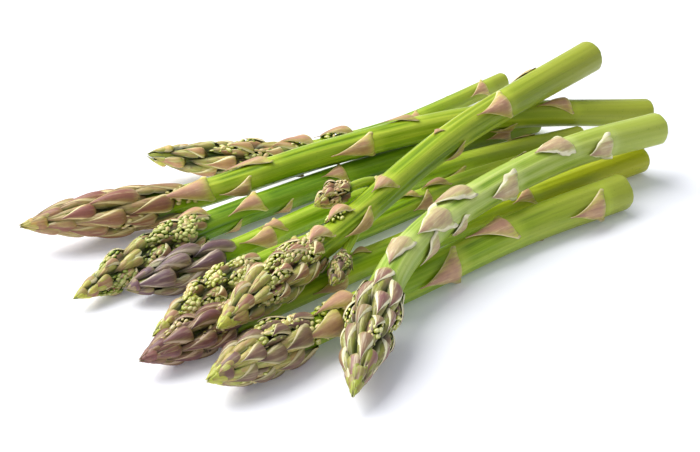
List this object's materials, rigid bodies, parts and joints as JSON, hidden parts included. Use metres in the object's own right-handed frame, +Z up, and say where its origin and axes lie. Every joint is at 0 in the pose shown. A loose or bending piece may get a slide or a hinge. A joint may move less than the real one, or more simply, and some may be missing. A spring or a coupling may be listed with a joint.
{
  "type": "bundle of asparagus",
  "caption": "Loose bundle of green and purple-tipped asparagus spears lying in a low pile, with scaly heads, leafy stems and cut ends.",
  "frame": {"origin": "middle of the pile's footprint, on the surface it rests on", "axes": "+X along the spears from their heads to their cut ends, +Z up"},
  "size_m": [0.2715, 0.1857, 0.0355],
  "materials": {
    "green_stem": "smooth waxy green skin",
    "pale_stem": "smooth waxy pale green skin",
    "shaded_stem": "smooth waxy deep green skin",
    "tan_head": "papery tan and yellow-green scale leaves",
    "mauve_head": "papery mauve scale leaves",
    "purple_head": "papery dark purple scale leaves",
    "green_head": "beaded yellow-green buds",
    "sage_head": "papery sage green scale leaves with purple tips"
  },
  "bodies": {
    "root": {"tip_a": "tan_head", "stem_a": "green_stem", "tip_b": "sage_head", "stem_b": "green_stem", "tip_c": "green_head", "stem_c": "shaded_stem", "tip_d": "mauve_head", "stem_d": "green_stem", "tip_e": "green_head", "stem_e": "green_stem", "tip_f": "purple_head", "stem_f": "green_stem", "tip_g": "sage_head", "stem_g": "pale_stem", "tip_h": "sage_head", "stem_h": "green_stem", "tip_j": "sage_head", "stem_j": "green_stem", "side_tip_1": "mauve_head", "side_tip_2": "sage_head"}
  },
  "joints": []
}
